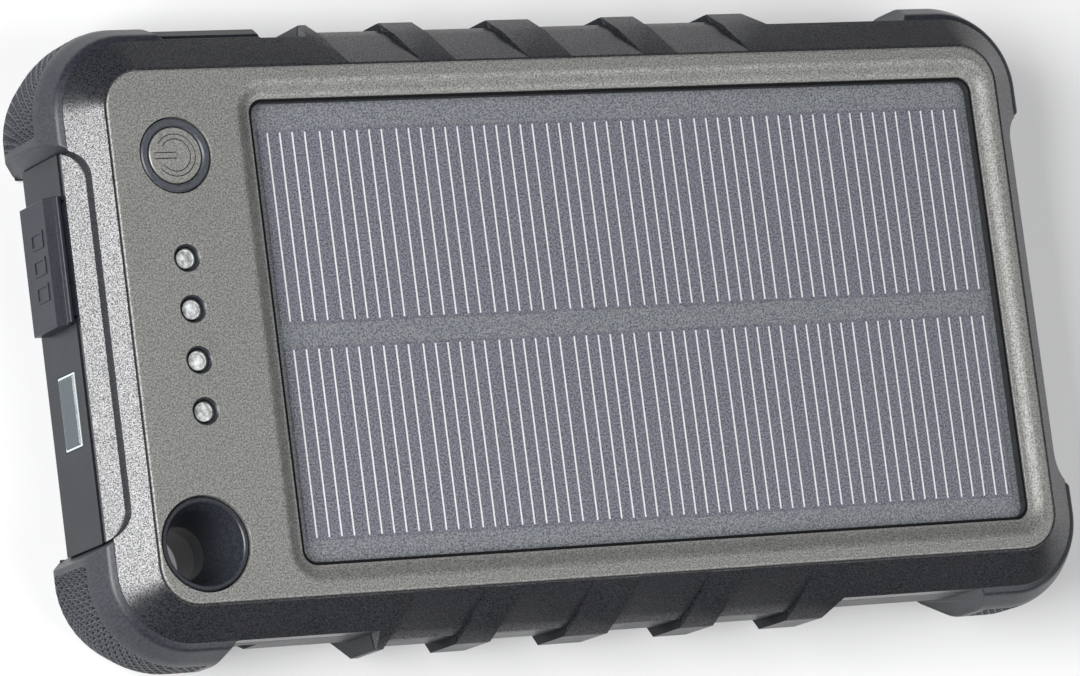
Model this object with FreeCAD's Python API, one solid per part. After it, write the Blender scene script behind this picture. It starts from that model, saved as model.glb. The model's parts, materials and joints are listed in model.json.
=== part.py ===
"""Solar phone charger: a rugged power bank with a solar panel on its front face.

Frame: millimetres. The origin is the centre of the flat rear face. +Z points out
of the solar face, +X runs along the long side away from the USB end, and +Y
points to the long side that the power button is nearer to.
"""
import FreeCAD, Part
import math
import os

# ---------------------------------------------------------------- driving dimensions
FRONT_Z = 21.5            # overall thickness, rear face to panel surface
SEAM_Z = 15.0             # mid-plane of the joint between the two housings
SEAM_GAP = 0.3            # visible gap of that joint
SEAL_FOOT = 0.5           # depth of the gasket groove in the rear and the front housing
SEAL_TOP = 0.2

PANEL_X = 65.3            # front panel, half sizes and corner radius
PANEL_Y = 34.13
PANEL_R = 5.0
PANEL_THICK = 1.6
PANEL_GAP = 0.04
PANEL_PROUD = 0.24        # how far the panel stands above the housing's rim

SLOPE_OUT = 4.5           # the sloped border: width, drop and corner radius
SLOPE_DROP = 3.55
BODY_X = PANEL_X + SLOPE_OUT
BODY_Y = PANEL_Y + SLOPE_OUT
BODY_R = 9.5
END_WALL_X = 70.0         # short end wall of the rear housing

GUARD_OUT = 7.0           # corner guards: outer face, measured from the panel edge
GUARD_X = PANEL_X + GUARD_OUT
GUARD_Y = PANEL_Y + GUARD_OUT
GUARD_END_LOW_Z = 3.6     # full width from here up on the short sides
GUARD_SIDE_LOW_Z = 7.5    # the same on the long sides
GUARD_SHOULDER_Z = 14.2   # full width up to here
GUARD_FOOT_X = 4.6        # foot of a guard, measured from the panel edge
GUARD_FOOT_Y = 3.3
GUARD_FOOT_Z = 0.35
GUARD_FROM_X = 54.4       # where each guard ends along the long and the short side
GUARD_FROM_Y = 24.8
GUARD_SLANT = 1.5         # how far the slanted ends run back towards the outside
GUARD_CORE_X = 69.2       # inside face of a guard
GUARD_CORE_Y = 38.03
GUARD_CORE_R = 8.9
GUARD_LIP_Z = 3.4         # top of the lip that wraps onto the rear face
GUARD_LIP_X = 66.3
GUARD_LIP_Y = 35.13
GUARD_LIP_R = 6.0

REAR_X = 67.0             # flat rear face
REAR_Y = 35.4
REAR_R = 6.0
REAR_FLOOR = 2.2
SIDE_BEVEL_Z = 8.7        # where the long walls start to lean in towards the rear
END_BEVEL_Z = 3.7         # the same on the short walls

CAVITY_X = 67.4           # inside of both housings
CAVITY_Y = 36.2
CAVITY_R = 7.4
CAVITY_FLOOR_X = 64.6
CAVITY_FLOOR_Y = 33.6
CAVITY_TOP_Z = 16.0       # underside of the front housing over the battery
BAY_TOP_Z = 18.3          # underside of the front housing over the electronics

WINDOW_X = 8.48           # solar window: centre, half sizes, corner radius, recess
WINDOW_HALF_X = 53.65
WINDOW_HALF_Y = 30.1
WINDOW_R = 2.0
WINDOW_RECESS = 1.1
DISH_WIDTH = 2.4
COVER_THICK = 1.5
COVER_GAP = 0.4           # gap round the cover, and how deep the bead in it lies
GASKET_DROP = 0.25
CELL_THICK = 0.2
CELL_GAP = 0.03           # air under the cover
BACKING_THICK = 1.0

STRIP_PITCH = 10.965      # one cut cell strip
STRIP_COUNT = 10
FIRST_STRIP_END = -35.83
CELL_LOW_X = -43.5
CELL_HIGH_X = 60.8
CELL_ROWS = ((-26.7, -1.9), (1.15, 26.3))
STRIP_GAP = 0.2

BUTTON_X = -56.58
BUTTON_Y = 23.03
BUTTON_CAP_R = 3.6
BUTTON_RING_IN = 3.76
BUTTON_RING_OUT = 4.78
BUTTON_RING_CHAMFER = 0.22
BUTTON_RING_SEAT = 0.1    # how far the ring stands on the housing
BUTTON_HOLE_R = 4.96

LIGHT_X = -56.73          # four charge lights in a line
LIGHT_FIRST_Y = -9.84
LIGHT_PITCH = 6.54
LIGHT_COUNT = 4
LIGHT_PIPE_R = 1.22
LIGHT_FOOT_R = 1.7
LIGHT_TIP_DEEP = 0.75
LIGHT_DOME_R = 2.2
LIGHT_DOME_HIGH = 0.25
LIGHT_HOLE_R = 1.42
LIGHT_CONE_R = 1.83
LIGHT_CONE_DEEP = 0.9

EYELET_X = -58.8          # through-hole for a lanyard or carabiner
EYELET_Y = -26.6
EYELET_R = 5.98
EYELET_HOLE_R = 6.18
EYELET_MOUTH_R = 5.3
EYELET_THROAT_R = 4.6     # end of the funnel under each mouth
EYELET_THROAT_DEEP = 1.8
EYELET_WAIST_R = 3.7
EYELET_WAIST = 3.0
EYELET_TUBE_R = 7.6

LAND_PITCH = 16.35        # raised lands on the long sides
LAND_CENTRE = -1.25
LAND_WIDTHS = (4.9, 6.3, 4.9)
FIRST_POCKET_X = -30.5
LAST_POCKET_X = 28.6
LAND_SLANT = 0.4          # shift towards -X for each millimetre outwards
LAND_OUT = 6.6
LAND_LOW_Z = 7.7
CENTRE_WALL_OUT = 5.5
CENTRE_WALL_LOW_Z = 9.2
POCKET_DROP = 0.9

END_STEP_OUT = 2.35       # step along the short ends of the sloped border
END_STEP_Z = FRONT_Z - 3.85
END_STRIP_Z = FRONT_Z - 5.75
END_STEP_HALF = 25.25
END_STEP_R = 4.0

FLAP_LOW_Z = 5.2          # both rubber flaps
FLAP_HIGH_Z = 14.1
FLAP_THICK = 1.7
CHARGE_FLAP_THICK = 2.3
FLAP_ROUND = 0.2
FLAP_GAP = 0.12
HINGE_Z = 14.6
HINGE_OUT = 0.44
HINGE_R = 0.42
BEAD_SLOT_INSET = 0.65    # the anchor slots are shorter than the flaps at each end

USB_Y = 11.5
USB_Z = 9.8
USB_WIDE = 13.1
USB_HIGH = 5.7
USB_DEEP = 14.0
USB_SHELL = 0.35
USB_RECESS = 3.2
USB_FLAP_LONG = 16.5

CHARGE_X = -46.7
CHARGE_Z = 8.3
CHARGE_WIDE = 7.5
CHARGE_HIGH = 2.7
CHARGE_DEEP = 5.6
CHARGE_RECESS = 1.5
CHARGE_FLAP_LONG = 14.6

LENS_Y = -7.25            # clear window of the side light
LENS_Z = 9.85
LENS_LONG = 9.7
LENS_HIGH = 5.3

BOARD_Z = 5.35            # main circuit board
BOARD_THICK = 1.6
BOARD_TOP = BOARD_Z + BOARD_THICK
SMALL_BOARD_Z = 13.4      # board that carries the button switch and the lights
SMALL_BOARD_THICK = 1.2
SMALL_BOARD_TOP = SMALL_BOARD_Z + SMALL_BOARD_THICK

INDUCTOR_X = -48.0
INDUCTOR_Y = -8.5

BATTERY_LOW_X = -40.0
BATTERY_HIGH_X = 60.0
BATTERY_HALF_Y = 30.0
BATTERY_LOW_Z = 3.7
BATTERY_HIGH_Z = 13.7

SCREWS = ((-62.6, 31.5), (-46.5, -32.7), (10.0, 32.7), (10.0, -32.7), (63.4, 27.0), (63.4, -27.0))
BOSS_R = 2.5
PILOT_R = 0.83
SHANK_R = 0.8
CLEAR_R = 1.15
HEAD_R = 1.9
HEAD_HOLE_R = 2.1
HEAD_Z = 3.4
HEAD_THICK = 1.4
BOSS_SPLIT_Z = 9.0
FAR = 200.0               # larger than the whole object, for cutting tools


# ---------------------------------------------------------------- helpers
def vec(x, y, z):
    return FreeCAD.Vector(x, y, z)


def outline(half_x, half_y, radius, z, centre_x=0.0, centre_y=0.0):
    """Rounded rectangle as a wire of four lines and four arcs."""
    corners = ((1, 1, 0), (-1, 1, 90), (-1, -1, 180), (1, -1, 270))
    arcs = []
    for sign_x, sign_y, start in corners:
        centre = vec(centre_x + sign_x * (half_x - radius), centre_y + sign_y * (half_y - radius), z)
        circle = Part.Circle(centre, vec(0, 0, 1), radius)
        arcs.append(Part.Arc(circle, math.radians(start), math.radians(start + 90)))
    edges = []
    for index, arc in enumerate(arcs):
        following = arcs[(index + 1) % 4]
        edges.append(arc.toShape())
        edges.append(Part.LineSegment(arc.EndPoint, following.StartPoint).toShape())
    return Part.Wire(edges)


def stacked(sections, centre_x=0.0, centre_y=0.0):
    """Solid through rounded rectangles given as (half x, half y, radius, z)."""
    wires = [outline(hx, hy, r, z, centre_x, centre_y) for hx, hy, r, z in sections]
    return Part.makeLoft(wires, True, True)


def slab(half_x, half_y, radius, z_low, z_high, centre_x=0.0, centre_y=0.0):
    face = Part.Face(outline(half_x, half_y, radius, z_low, centre_x, centre_y))
    return face.extrude(vec(0, 0, z_high - z_low))


def box(x_low, x_high, y_low, y_high, z_low, z_high):
    return Part.makeBox(x_high - x_low, y_high - y_low, z_high - z_low, vec(x_low, y_low, z_low))


def rod(radius, x, y, z_low, z_high):
    return Part.makeCylinder(radius, z_high - z_low, vec(x, y, z_low))


def cone(radius_low, radius_high, x, y, z_low, z_high):
    return Part.makeCone(radius_low, radius_high, z_high - z_low, vec(x, y, z_low))


def prism(points, direction):
    """Extrude a closed polygon of vectors along a direction."""
    wire = Part.makePolygon(points + [points[0]])
    return Part.Face(wire).extrude(direction)


def prism_xy(points, z_low, z_high):
    return prism([vec(x, y, z_low) for x, y in points], vec(0, 0, z_high - z_low))


def prism_xz(points, y_low, y_high):
    return prism([vec(x, y_low, z) for x, z in points], vec(0, y_high - y_low, 0))


def prism_yz(points, x_low, x_high):
    return prism([vec(x_low, y, z) for y, z in points], vec(x_high - x_low, 0, 0))


def mirror_x(shape):
    return shape.mirror(vec(0, 0, 0), vec(1, 0, 0))


def mirror_y(shape):
    return shape.mirror(vec(0, 0, 0), vec(0, 1, 0))


def fused(shapes):
    result = shapes[0].fuse(shapes[1:]) if len(shapes) > 1 else shapes[0]
    return result.removeSplitter()


def turned(profile, x, y):
    """Solid of revolution about the vertical line through (x, y); profile is (r, z)."""
    points = [vec(x + r, y, z) for r, z in profile]
    wire = Part.makePolygon(points + [points[0]])
    return Part.Face(wire).revolve(vec(x, y, 0), vec(0, 0, 1), 360)


def save(name, shape):
    solids = shape.Solids
    assert solids and all(solid.isValid() and solid.Volume > 0 for solid in solids), name
    kept = solids[0] if len(solids) == 1 else Part.makeCompound(solids)
    kept.exportStep("parts/" + name + ".step")
    print(name, len(solids), round(sum(solid.Volume for solid in solids), 1))


# ---------------------------------------------------------------- corner guards
def guard_quarter():
    """Plan region of the +X +Y guard, with its two slanted ends."""
    ease = GUARD_SLANT
    points = [
        (GUARD_FROM_X - 0.2, GUARD_CORE_Y - 8.0),
        (GUARD_FROM_X - 0.2, BODY_Y - 0.3),
        (GUARD_FROM_X + ease, GUARD_Y + 0.05),
        (GUARD_FROM_X + ease, FAR / 4),
        (FAR / 2, FAR / 4),
        (FAR / 2, GUARD_FROM_Y + ease),
        (GUARD_X + 0.05, GUARD_FROM_Y + ease),
        (BODY_X - 0.3, GUARD_FROM_Y - 0.2),
        (GUARD_CORE_X - 8.0, GUARD_FROM_Y - 0.2),
    ]
    return prism_xy(points, -1.0, FRONT_Z)


def guard_core():
    """What the guards wrap around: the housings' corners."""
    upper = slab(GUARD_CORE_X, GUARD_CORE_Y, GUARD_CORE_R, GUARD_LIP_Z, FRONT_Z)
    lower = slab(GUARD_LIP_X, GUARD_LIP_Y, GUARD_LIP_R, -1.0, GUARD_LIP_Z)
    return upper.fuse(lower)


def guard_section(out_x, out_y, z):
    """Section of the guards at a height, for the ends' and the sides' distance from the panel edge."""
    return PANEL_X + out_x, PANEL_Y + out_y, PANEL_R + (out_x + out_y) / 2, z


def guard_ring():
    lip_z = FRONT_Z - SLOPE_DROP
    share = (GUARD_END_LOW_Z - GUARD_FOOT_Z) / (GUARD_SIDE_LOW_Z - GUARD_FOOT_Z)
    side_out = GUARD_FOOT_Y + (GUARD_OUT - GUARD_FOOT_Y) * share
    outer = stacked([
        guard_section(GUARD_FOOT_X, GUARD_FOOT_Y, GUARD_FOOT_Z),
        guard_section(GUARD_OUT, side_out, GUARD_END_LOW_Z),
        guard_section(GUARD_OUT, GUARD_OUT, GUARD_SIDE_LOW_Z),
        guard_section(GUARD_OUT, GUARD_OUT, GUARD_SHOULDER_Z),
        guard_section(SLOPE_OUT + 0.9, SLOPE_OUT + 0.9, lip_z - 0.45),
        guard_section(SLOPE_OUT, SLOPE_OUT, lip_z),
    ])
    return outer.cut(guard_core())


def corner_guards():
    """The four guards, by name, one in each corner."""
    first = guard_ring().common(guard_quarter())
    return {
        "corner_guard_right_top": first,
        "corner_guard_left_top": mirror_x(first),
        "corner_guard_right_bottom": mirror_y(first),
        "corner_guard_left_bottom": mirror_x(mirror_y(first)),
    }


# ---------------------------------------------------------------- lands of the long sides
def land_spans():
    """The (low, high) X of each land, measured at the panel edge."""
    spans = []
    for index, width in enumerate(LAND_WIDTHS):
        middle = LAND_CENTRE + (index - 1) * LAND_PITCH
        spans.append((middle - width / 2, middle + width / 2))
    return spans


def pocket_spans():
    """The pockets lie between the lands and run out to the first and last pocket ends."""
    lands = land_spans()
    starts = [FIRST_POCKET_X] + [high for low, high in lands]
    ends = [low for low, high in lands] + [LAST_POCKET_X]
    return list(zip(starts, ends))


def slanted_plan(x_low, x_high, out_low, out_high):
    """Plan parallelogram on the +Y side whose ends lean towards -X going outwards."""
    return [
        (x_low - LAND_SLANT * out_low, PANEL_Y + out_low),
        (x_high - LAND_SLANT * out_low, PANEL_Y + out_low),
        (x_high - LAND_SLANT * out_high, PANEL_Y + out_high),
        (x_low - LAND_SLANT * out_high, PANEL_Y + out_high),
    ]


def land_plans():
    """Plan outlines of the five raised lands on the +Y side."""
    plans = [slanted_plan(low, high, 1.0, 9.0) for low, high in land_spans()]
    first = slanted_plan(FIRST_POCKET_X - 4.2, FIRST_POCKET_X, 1.0, 9.0)
    first[3] = (first[3][0] + 4.6, first[3][1])
    last = slanted_plan(LAST_POCKET_X, LAST_POCKET_X + 9.0, 1.0, 9.0)
    last[2] = (last[2][0] - 5.2, last[2][1])
    return [first] + plans + [last]


def pocket_tool(x_low, x_high):
    """Wedge that sinks the sloped border between two lands."""
    plan = prism_xy(slanted_plan(x_low, x_high, 0.0, 12.0), 0.0, FRONT_Z + 5.0)
    drop = SLOPE_DROP + POCKET_DROP
    above = prism_yz([
        (PANEL_Y, FRONT_Z),
        (BODY_Y, FRONT_Z - drop),
        (BODY_Y + 12.0, FRONT_Z - drop),
        (BODY_Y + 12.0, FRONT_Z + 4.0),
        (PANEL_Y, FRONT_Z + 4.0),
    ], -FAR / 2, FAR / 2)
    return plan.common(above)


def front_lands():
    """Front halves of the lands and the wall between them, +Y side."""
    shoulder = prism_yz([
        (PANEL_Y + 1.2, FRONT_Z - 0.947),
        (BODY_Y, FRONT_Z - SLOPE_DROP),
        (PANEL_Y + LAND_OUT, FRONT_Z - 6.2),
        (PANEL_Y + LAND_OUT, SEAM_Z + SEAM_GAP / 2),
        (PANEL_Y + 1.2, SEAM_Z + SEAM_GAP / 2),
    ], -FAR / 2, FAR / 2)
    low_wall = prism_yz([
        (PANEL_Y + 2.0, FRONT_Z - SLOPE_DROP - POCKET_DROP - 0.4),
        (BODY_Y, FRONT_Z - SLOPE_DROP - POCKET_DROP),
        (PANEL_Y + CENTRE_WALL_OUT, SEAM_Z + SEAM_GAP / 2 + 0.4),
        (PANEL_Y + CENTRE_WALL_OUT, SEAM_Z + SEAM_GAP / 2),
        (PANEL_Y + 2.0, SEAM_Z + SEAM_GAP / 2),
    ], FIRST_POCKET_X - 3.0, LAST_POCKET_X + 1.0)
    lands = [prism_xy(plan, 0.0, FRONT_Z).common(shoulder) for plan in land_plans()]
    return lands + [low_wall]


def rear_lands():
    """Rear halves of the lands and the wall between them, +Y side."""
    top = SEAM_Z - SEAM_GAP / 2
    lean = (BODY_Y - REAR_Y) / SIDE_BEVEL_Z
    foot_z = 0.6
    rib = prism_yz([
        (REAR_Y - 2.5, top),
        (PANEL_Y + LAND_OUT, top),
        (PANEL_Y + LAND_OUT, LAND_LOW_Z),
        (PANEL_Y + LAND_OUT - 0.62 * (LAND_LOW_Z - foot_z), foot_z),
        (REAR_Y - 2.5, foot_z),
    ], -FAR / 2, FAR / 2)
    wall = prism_yz([
        (REAR_Y - 2.5, top),
        (PANEL_Y + CENTRE_WALL_OUT, top),
        (PANEL_Y + CENTRE_WALL_OUT, CENTRE_WALL_LOW_Z),
        (REAR_Y + lean * 2.0, 2.0),
        (REAR_Y - 2.5, 2.0),
    ], FIRST_POCKET_X - 3.0, LAST_POCKET_X + 1.0)
    lands = [prism_xy(plan, 0.0, FRONT_Z).common(rib) for plan in land_plans()]
    return lands + [wall]


# ---------------------------------------------------------------- housings
def end_step_tool():
    """Cuts the step and the lower strip along the +X end of the sloped border."""
    step_x = PANEL_X + END_STEP_OUT
    profile = prism_xz([
        (step_x, FRONT_Z + 2.0),
        (step_x, END_STEP_Z),
        (BODY_X, END_STRIP_Z),
        (BODY_X + 8.0, END_STRIP_Z),
        (BODY_X + 8.0, FRONT_Z + 2.0),
    ], -FAR / 2, FAR / 2)
    plan = slab(20.0, END_STEP_HALF, END_STEP_R, 0.0, FRONT_Z + 2.0, step_x + 20.0)
    return profile.common(plan)


def seam_groove(z_low, z_high):
    outer = slab(69.0, 37.8, 8.7, z_low, z_high)
    return outer.cut(slab(68.2, 37.0, 7.9, z_low, z_high))


def eyelet_bore(z_low, z_high, radius=EYELET_R):
    return rod(radius, EYELET_X, EYELET_Y, z_low, z_high)


def light_places():
    return [(LIGHT_X, LIGHT_FIRST_Y + index * LIGHT_PITCH) for index in range(LIGHT_COUNT)]


def module_recess(z_low, z_high):
    return slab(WINDOW_HALF_X + 0.2, WINDOW_HALF_Y + 0.2, 2.2, z_low, z_high, WINDOW_X)


def front_housing(guards):
    rim_z = FRONT_Z - PANEL_PROUD
    rim_out = PANEL_PROUD * SLOPE_OUT / SLOPE_DROP
    panel_under = FRONT_Z - PANEL_THICK
    low = SEAM_Z + SEAM_GAP / 2
    body = stacked([
        (BODY_X, BODY_Y, BODY_R, low),
        (BODY_X, BODY_Y, BODY_R, FRONT_Z - SLOPE_DROP),
        (PANEL_X + rim_out, PANEL_Y + rim_out, PANEL_R + rim_out, rim_z),
    ])
    tools = [pocket_tool(a, b) for a, b in pocket_spans()]
    tools += [mirror_y(tool) for tool in tools]
    tools += [end_step_tool(), mirror_x(end_step_tool())]
    body = body.cut(tools)
    lands = front_lands()
    body = fused([body] + lands + [mirror_y(land) for land in lands])

    hollow = [slab(CAVITY_X, CAVITY_Y, CAVITY_R, low - 1.0, CAVITY_TOP_Z)]
    hollow.append(box(-65.6, -47.0, -33.5, 33.5, CAVITY_TOP_Z - 1.0, BAY_TOP_Z))
    body = body.cut(hollow)
    additions = [rod(BOSS_R, x, y, BOSS_SPLIT_Z, BAY_TOP_Z - 0.8) for x, y in SCREWS]
    additions.append(eyelet_bore(low, BAY_TOP_Z + 0.5, EYELET_TUBE_R))
    body = fused([body] + additions)

    gap = PANEL_GAP
    seat_r = BUTTON_RING_OUT - BUTTON_RING_SEAT
    cuts = [slab(PANEL_X + gap, PANEL_Y + gap, PANEL_R + gap, panel_under, FRONT_Z + 1.0)]
    cuts.append(module_recess(CAVITY_TOP_Z + 1.6, panel_under + 0.5))
    cuts.append(box(-43.0, -39.0, -4.0, 4.0, CAVITY_TOP_Z - 1.0, CAVITY_TOP_Z + 2.0))
    cuts.append(rod(seat_r, BUTTON_X, BUTTON_Y, BAY_TOP_Z - 1.0, panel_under + 0.1))
    cuts.append(eyelet_bore(low - 1.0, FRONT_Z + 1.0, EYELET_R + 0.05))
    cuts.append(seam_groove(low - 0.5, low + SEAL_TOP))
    for x, y in light_places():
        cuts.append(rod(LIGHT_HOLE_R, x, y, BAY_TOP_Z - 1.0, FRONT_Z))
    for x, y in SCREWS:
        cuts.append(rod(PILOT_R, x, y, BOSS_SPLIT_Z - 1.0, 16.6))
    return body.cut(cuts + guards)


def side_notch():
    """Small relief in the -Y wall beside the eyelet corner."""
    return box(-54.7, -49.5, -BODY_Y - 2.0, -BODY_Y + 0.6, 0.0, FRONT_Z - 8.7)


def rear_housing(guards):
    top = SEAM_Z - SEAM_GAP / 2
    lower_y = REAR_Y + (BODY_Y - REAR_Y) * END_BEVEL_Z / SIDE_BEVEL_Z
    body = stacked([
        (REAR_X, REAR_Y, REAR_R, 0.0),
        (END_WALL_X, lower_y, 8.4, END_BEVEL_Z),
        (END_WALL_X, BODY_Y, BODY_R + 0.1, SIDE_BEVEL_Z),
        (END_WALL_X, BODY_Y, BODY_R + 0.1, top),
    ])
    corner = guard_core().common(guard_quarter())
    corner = corner.common(slab(FAR / 2, FAR / 2, 1.0, 0.0, top))
    corners = [corner, mirror_x(corner), mirror_y(corner), mirror_x(mirror_y(corner))]
    lands = rear_lands()
    body = fused([body] + corners + lands + [mirror_y(land) for land in lands])
    body = body.cut(side_notch())

    hollow = stacked([
        (CAVITY_FLOOR_X, CAVITY_FLOOR_Y, 5.0, REAR_FLOOR),
        (CAVITY_X, CAVITY_Y, CAVITY_R, SIDE_BEVEL_Z),
        (CAVITY_X, CAVITY_Y, CAVITY_R, FRONT_Z),
    ])
    body = body.cut(hollow)
    additions = [rod(BOSS_R + 0.1, x, y, 1.0, BOSS_SPLIT_Z - 0.1) for x, y in SCREWS]
    additions.append(eyelet_bore(0.5, top, EYELET_TUBE_R))
    additions.append(box(-68.0, -65.65, USB_Y - 8.5, USB_Y + 8.5, USB_Z - 4.9, USB_Z + 4.9))
    additions.append(box(CHARGE_X - 5.2, CHARGE_X + 5.2, 35.2, 37.0, CHARGE_Z - 3.4, CHARGE_Z + 3.4))
    for x, y in board_posts():
        additions.append(rod(1.6, x, y, 1.0, BOARD_Z))
    body = fused([body] + additions)

    wall_x = -END_WALL_X
    cuts = [box(wall_x - 1.0, wall_x + USB_RECESS, USB_Y - 7.5, USB_Y + 7.5, USB_Z - 3.85, USB_Z + 3.85)]
    cuts.append(box(wall_x, -60.0, USB_Y - 6.65, USB_Y + 6.65, USB_Z - 2.95, USB_Z + 2.95))
    cuts.append(box(wall_x - 1.0, -60.0, LENS_Y - LENS_LONG / 2, LENS_Y + LENS_LONG / 2,
                    LENS_Z - LENS_HIGH / 2, LENS_Z + LENS_HIGH / 2))
    cuts.append(box(CHARGE_X - 4.5, CHARGE_X + 4.5, BODY_Y - CHARGE_RECESS, BODY_Y + 1.0,
                    CHARGE_Z - 2.2, CHARGE_Z + 2.2))
    cuts.append(box(CHARGE_X - 3.85, CHARGE_X + 3.85, 33.0, BODY_Y, CHARGE_Z - 1.45, CHARGE_Z + 1.45))
    half = USB_FLAP_LONG / 2 - BEAD_SLOT_INSET
    cuts.append(box(wall_x - 1.0, wall_x + 0.8, USB_Y - half, USB_Y + half, HINGE_Z - 0.3, FRONT_Z))
    half = CHARGE_FLAP_LONG / 2 - BEAD_SLOT_INSET
    cuts.append(box(CHARGE_X - half, CHARGE_X + half, BODY_Y - 0.8, BODY_Y + 1.0, HINGE_Z - 0.3, FRONT_Z))
    cuts.append(eyelet_bore(-1.0, top + 1.0, EYELET_R + 0.05))
    cuts.append(seam_groove(top - SEAL_FOOT, top + 0.1))
    for x, y in SCREWS:
        cuts.append(rod(CLEAR_R, x, y, -1.0, BOSS_SPLIT_Z + 1.0))
        cuts.append(rod(HEAD_HOLE_R, x, y, -1.0, HEAD_Z + HEAD_THICK))
    return body.cut(cuts + guards)


def front_panel():
    """Metallic cover plate with the dished solar window."""
    top = FRONT_Z
    plate = stacked([
        (PANEL_X, PANEL_Y, PANEL_R, top - PANEL_THICK),
        (PANEL_X, PANEL_Y, PANEL_R, top - 0.2),
        (PANEL_X - 0.08, PANEL_Y - 0.08, PANEL_R - 0.08, top - 0.06),
        (PANEL_X - 0.25, PANEL_Y - 0.25, PANEL_R - 0.25, top),
    ])
    steps = 8
    sections = [(WINDOW_HALF_X, WINDOW_HALF_Y, WINDOW_R, top - WINDOW_RECESS)]
    for index in range(1, steps + 1):
        share = index / steps
        out = DISH_WIDTH * share
        rise = WINDOW_RECESS * share * share * (3 - 2 * share)
        z = top - WINDOW_RECESS + rise
        sections.append((WINDOW_HALF_X + out, WINDOW_HALF_Y + out, WINDOW_R + out, z))
    dish = stacked(sections, WINDOW_X)
    opening = slab(WINDOW_HALF_X, WINDOW_HALF_Y, WINDOW_R, top - 3.0, top - WINDOW_RECESS + 0.05, WINDOW_X)
    cuts = [dish, opening, rod(BUTTON_HOLE_R, BUTTON_X, BUTTON_Y, top - 3.0, top + 1.0)]
    cuts.append(eyelet_bore(top - 3.0, top + 1.0, EYELET_HOLE_R))
    for x, y in light_places():
        cuts.append(rod(LIGHT_HOLE_R, x, y, top - 3.0, top))
        cuts.append(cone(LIGHT_HOLE_R, LIGHT_CONE_R, x, y, top - LIGHT_CONE_DEEP, top))
    return plate.cut(cuts)


def case_seal():
    """Rubber gasket in the groove of the seam."""
    return seam_groove(SEAM_Z - SEAM_GAP / 2 - SEAL_FOOT + 0.05, SEAM_Z + SEAM_GAP / 2 + SEAL_TOP - 0.05)


# ---------------------------------------------------------------- solar module
def cover_z():
    """Low and high Z of the clear cover."""
    high = FRONT_Z - WINDOW_RECESS - 0.05
    return high - COVER_THICK, high


def solar_cover():
    low, high = cover_z()
    half_x = WINDOW_HALF_X - COVER_GAP
    half_y = WINDOW_HALF_Y - COVER_GAP
    return stacked([
        (half_x, half_y, WINDOW_R - 0.3, low),
        (half_x, half_y, WINDOW_R - 0.3, high - 0.18),
        (half_x - 0.18, half_y - 0.18, WINDOW_R - 0.48, high),
    ], WINDOW_X)


def cover_gasket():
    """Black bead that bonds the cover's edge to the panel's window."""
    low, high = cover_z()
    half_x = WINDOW_HALF_X - 0.03
    half_y = WINDOW_HALF_Y - 0.03
    bead = slab(half_x, half_y, WINDOW_R - 0.03, low + 0.05, high - GASKET_DROP, WINDOW_X)
    inside = slab(WINDOW_HALF_X - COVER_GAP, WINDOW_HALF_Y - COVER_GAP, WINDOW_R - 0.3, low, high, WINDOW_X)
    return bead.cut(inside)


def solar_cells():
    """Two rows of cut cell strips, all lying on the backing board."""
    high = cover_z()[0] - CELL_GAP
    low = high - CELL_THICK
    strips = []
    for y_low, y_high in CELL_ROWS:
        for index in range(STRIP_COUNT):
            end = FIRST_STRIP_END + index * STRIP_PITCH
            x_low = max(end - STRIP_PITCH + STRIP_GAP / 2, CELL_LOW_X)
            x_high = min(end - STRIP_GAP / 2, CELL_HIGH_X)
            strips.append(box(x_low, x_high, y_low, y_high, low, high))
    return Part.makeCompound(strips)


def backing_top():
    return cover_z()[0] - CELL_GAP - CELL_THICK


def solar_backing():
    high = backing_top()
    return slab(WINDOW_HALF_X - 0.2, WINDOW_HALF_Y - 0.2, WINDOW_R, high - BACKING_THICK, high, WINDOW_X)


# ---------------------------------------------------------------- button and lights
def button_ring():
    low = FRONT_Z - PANEL_THICK
    high = FRONT_Z - 0.05
    shoulder = high - BUTTON_RING_CHAMFER
    return turned([
        (BUTTON_RING_IN, low),
        (BUTTON_RING_OUT, low),
        (BUTTON_RING_OUT, shoulder),
        (BUTTON_RING_OUT - BUTTON_RING_CHAMFER, high),
        (BUTTON_RING_IN + BUTTON_RING_CHAMFER, high),
        (BUTTON_RING_IN, shoulder),
    ], BUTTON_X, BUTTON_Y)


def button_cap():
    """Round cap with a retaining flange and a stem that reaches the switch."""
    top = FRONT_Z - 0.12
    flange_top = FRONT_Z - PANEL_THICK - 0.1
    flange_low = flange_top - 0.75
    return turned([
        (0.0, flange_low - 0.9),
        (1.3, flange_low - 0.9),
        (1.3, flange_low),
        (4.3, flange_low),
        (4.3, flange_top),
        (BUTTON_CAP_R, flange_top),
        (BUTTON_CAP_R, top - 0.12),
        (BUTTON_CAP_R - 0.12, top),
        (0.0, top),
    ], BUTTON_X, BUTTON_Y)


def switch_plunger():
    cap_foot = FRONT_Z - PANEL_THICK - 0.1 - 0.75 - 0.9
    return rod(1.6, BUTTON_X, BUTTON_Y, SMALL_BOARD_TOP + 1.2, cap_foot)


def button_switch():
    """Square tactile switch body, hollow where its plunger runs."""
    low = SMALL_BOARD_TOP
    body = box(BUTTON_X - 3.0, BUTTON_X + 3.0, BUTTON_Y - 3.0, BUTTON_Y + 3.0, low, low + 2.5)
    return body.cut(rod(1.7, BUTTON_X, BUTTON_Y, low + 0.6, low + 3.0))


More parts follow.
